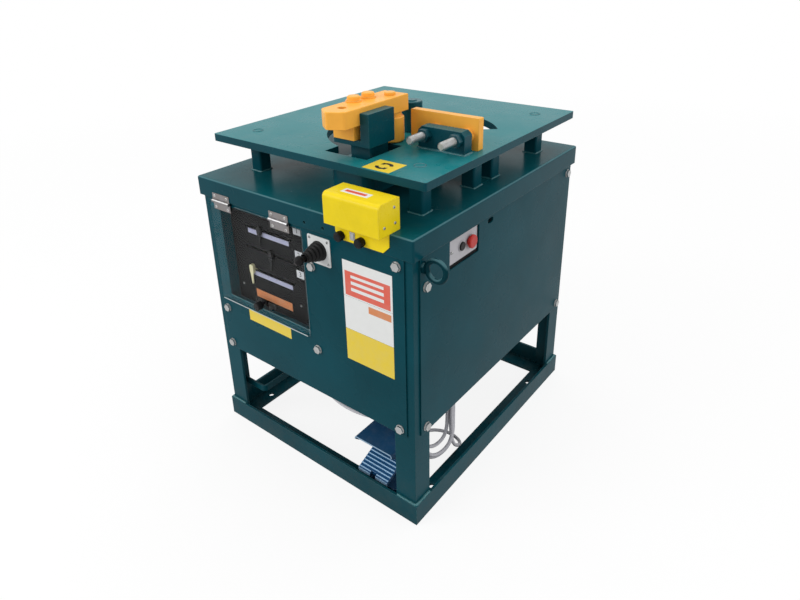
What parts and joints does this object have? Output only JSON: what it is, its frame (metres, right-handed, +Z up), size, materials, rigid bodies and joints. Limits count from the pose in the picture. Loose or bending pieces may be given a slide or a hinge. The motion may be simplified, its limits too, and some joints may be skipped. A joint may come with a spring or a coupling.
{
  "type": "stirrup bending machine",
  "caption": "Floor-standing stirrup bender: angle-iron base, sheet cabinet, slotted table on posts, and a roller head that swings round a centre pin against an adjustable fence.",
  "frame": {"origin": "on the floor, in the middle of the four anchor holes in the base", "axes": "+Z up, -Y towards the operator's side with the window, +X towards the side with the push buttons"},
  "size_m": [0.6494, 0.744, 0.856],
  "materials": {
    "teal_paint": "gloss enamel",
    "orange_paint": "gloss enamel, worn at the edges",
    "yellow_paint": "gloss enamel",
    "bright_steel": "turned steel",
    "zinc": "zinc plated",
    "grey_motor": "grey paint",
    "gear_case": "grey paint",
    "black_plastic": "moulded",
    "black_panel": "satin black",
    "clear_sheet": "clear acrylic",
    "pale_plate": "pale grey",
    "cream_dog": "moulded",
    "red_plastic": "moulded",
    "black_rubber": "moulded",
    "grey_rubber": "cable jacket",
    "foot_paint": "blue-grey enamel",
    "box_sheet": "grey paint"
  },
  "bodies": {
    "cabinet": {"base_rail_front": "teal_paint", "base_rail_left": "teal_paint", "base_rail_rear": "teal_paint", "base_rail_right": "teal_paint", "centre_pin": "teal_paint", "control_box": "box_sheet", "cord_glands": "black_plastic", "corner_legs": "teal_paint", "cover_end": "yellow_paint", "cover_knobs": "black_plastic", "dial_panel": "black_panel", "dial_tray": "teal_paint", "fence_bracket": "teal_paint", "foot_base": "foot_paint", "foot_hood": "foot_paint", "front_panel": "teal_paint", "gear_reducer": "gear_case", "hex_bolts": "zinc", "hinge_frame_leaves": "zinc", "lead_hank": "grey_rubber", "lead_hook": "zinc", "lead_run": "grey_rubber", "lead_tail": "grey_rubber", "left_panel": "teal_paint", "lever_boot": "black_rubber", "lever_plate": "pale_plate", "lever_switch": "black_plastic", "lid": "teal_paint", "lifting_eye": "teal_paint", "motor": "grey_motor", "motor_cowl": "black_plastic", "rear_panel": "teal_paint", "right_panel": "teal_paint", "storage_bar": "teal_paint", "switch_box": "black_plastic", "switch_cover": "yellow_paint", "switch_face": "pale_plate", "table": "teal_paint", "table_posts": "teal_paint"},
    "swing": {"output_shaft": "bright_steel", "crank_arm": "teal_paint", "head_saddle": "teal_paint", "arm_riser": "orange_paint", "bend_arm": "orange_paint", "arm_bolts": "orange_paint", "roll_pin": "orange_paint"},
    "bend_roll": {"bend_roll": "orange_paint"},
    "centre_roll": {"centre_roll": "teal_paint"},
    "fence": {"fence": "orange_paint", "fence_bolts": "zinc"},
    "door": {"window_door": "clear_sheet", "hinge_door_leaves": "zinc"},
    "latch": {"door_latch": "black_plastic"},
    "lever": {"lever_stick": "black_plastic"},
    "start_button": {"start_button": "black_plastic"},
    "stop_button": {"stop_button": "red_plastic"},
    "pedal": {"foot_pedal": "foot_paint"},
    "dog_1": {"setting_dog_1": "black_plastic"},
    "dog_2": {"setting_dog_2": "black_plastic"},
    "dog_3": {"setting_dog_3": "cream_dog"}
  },
  "joints": [
    {"name": "arm_swing", "type": "hinge", "parent": "cabinet", "child": "swing", "pos_m": [0.077, -0.035, 0.7], "axis": [0, 0, -1], "range_deg": [0, 200]},
    {"name": "bend_roll_spin", "type": "hinge", "parent": "swing", "child": "bend_roll", "pos_m": [0.087, -0.121, 0.78], "axis": [0, 0, 1], "continuous": true},
    {"name": "centre_roll_spin", "type": "hinge", "parent": "cabinet", "child": "centre_roll", "pos_m": [0.077, -0.035, 0.776], "axis": [0, 0, 1], "continuous": true},
    {"name": "fence_adjust", "type": "slide", "parent": "cabinet", "child": "fence", "axis": [0, 1, 0], "range_m": [-0.008, 0.01]},
    {"name": "door_swing", "type": "hinge", "parent": "cabinet", "child": "door", "pos_m": [-0.13, -0.3375, 0.613], "axis": [-1, 0, 0], "range_deg": [0, 115]},
    {"name": "latch_turn", "type": "hinge", "parent": "door", "child": "latch", "pos_m": [-0.1247, -0.334, 0.389], "axis": [0, -1, 0], "range_deg": [0, 90]},
    {"name": "lever_tilt", "type": "hinge", "parent": "cabinet", "child": "lever", "pos_m": [0.068, -0.331, 0.5755], "axis": [1, 0, 0], "range_deg": [-15, 15], "stiffness_Nm_per_rad": 0.8, "deforming": ["lever_boot"]},
    {"name": "start_press", "type": "slide", "parent": "cabinet", "child": "start_button", "axis": [-1, 0, 0], "range_m": [0, 0.0035], "stiffness_N_per_m": 600, "springref_m": -0.002},
    {"name": "stop_press", "type": "slide", "parent": "cabinet", "child": "stop_button", "axis": [-1, 0, 0], "range_m": [0, 0.0035], "stiffness_N_per_m": 600, "springref_m": -0.002},
    {"name": "pedal_press", "type": "hinge", "parent": "cabinet", "child": "pedal", "pos_m": [0.1625, -0.204, 0.08003], "axis": [1, 0, 0], "range_deg": [0, 5], "stiffness_Nm_per_rad": 8, "springref_deg": -8.59},
    {"name": "dog_1_slide", "type": "slide", "parent": "cabinet", "child": "dog_1", "axis": [1, 0, 0], "range_m": [-0.0525, 0.0925]},
    {"name": "dog_2_slide", "type": "slide", "parent": "cabinet", "child": "dog_2", "axis": [1, 0, 0], "range_m": [-0.0825, 0.0625]},
    {"name": "dog_3_slide", "type": "slide", "parent": "cabinet", "child": "dog_3", "axis": [1, 0, 0], "range_m": [-0.0125, 0.1325]}
  ]
}
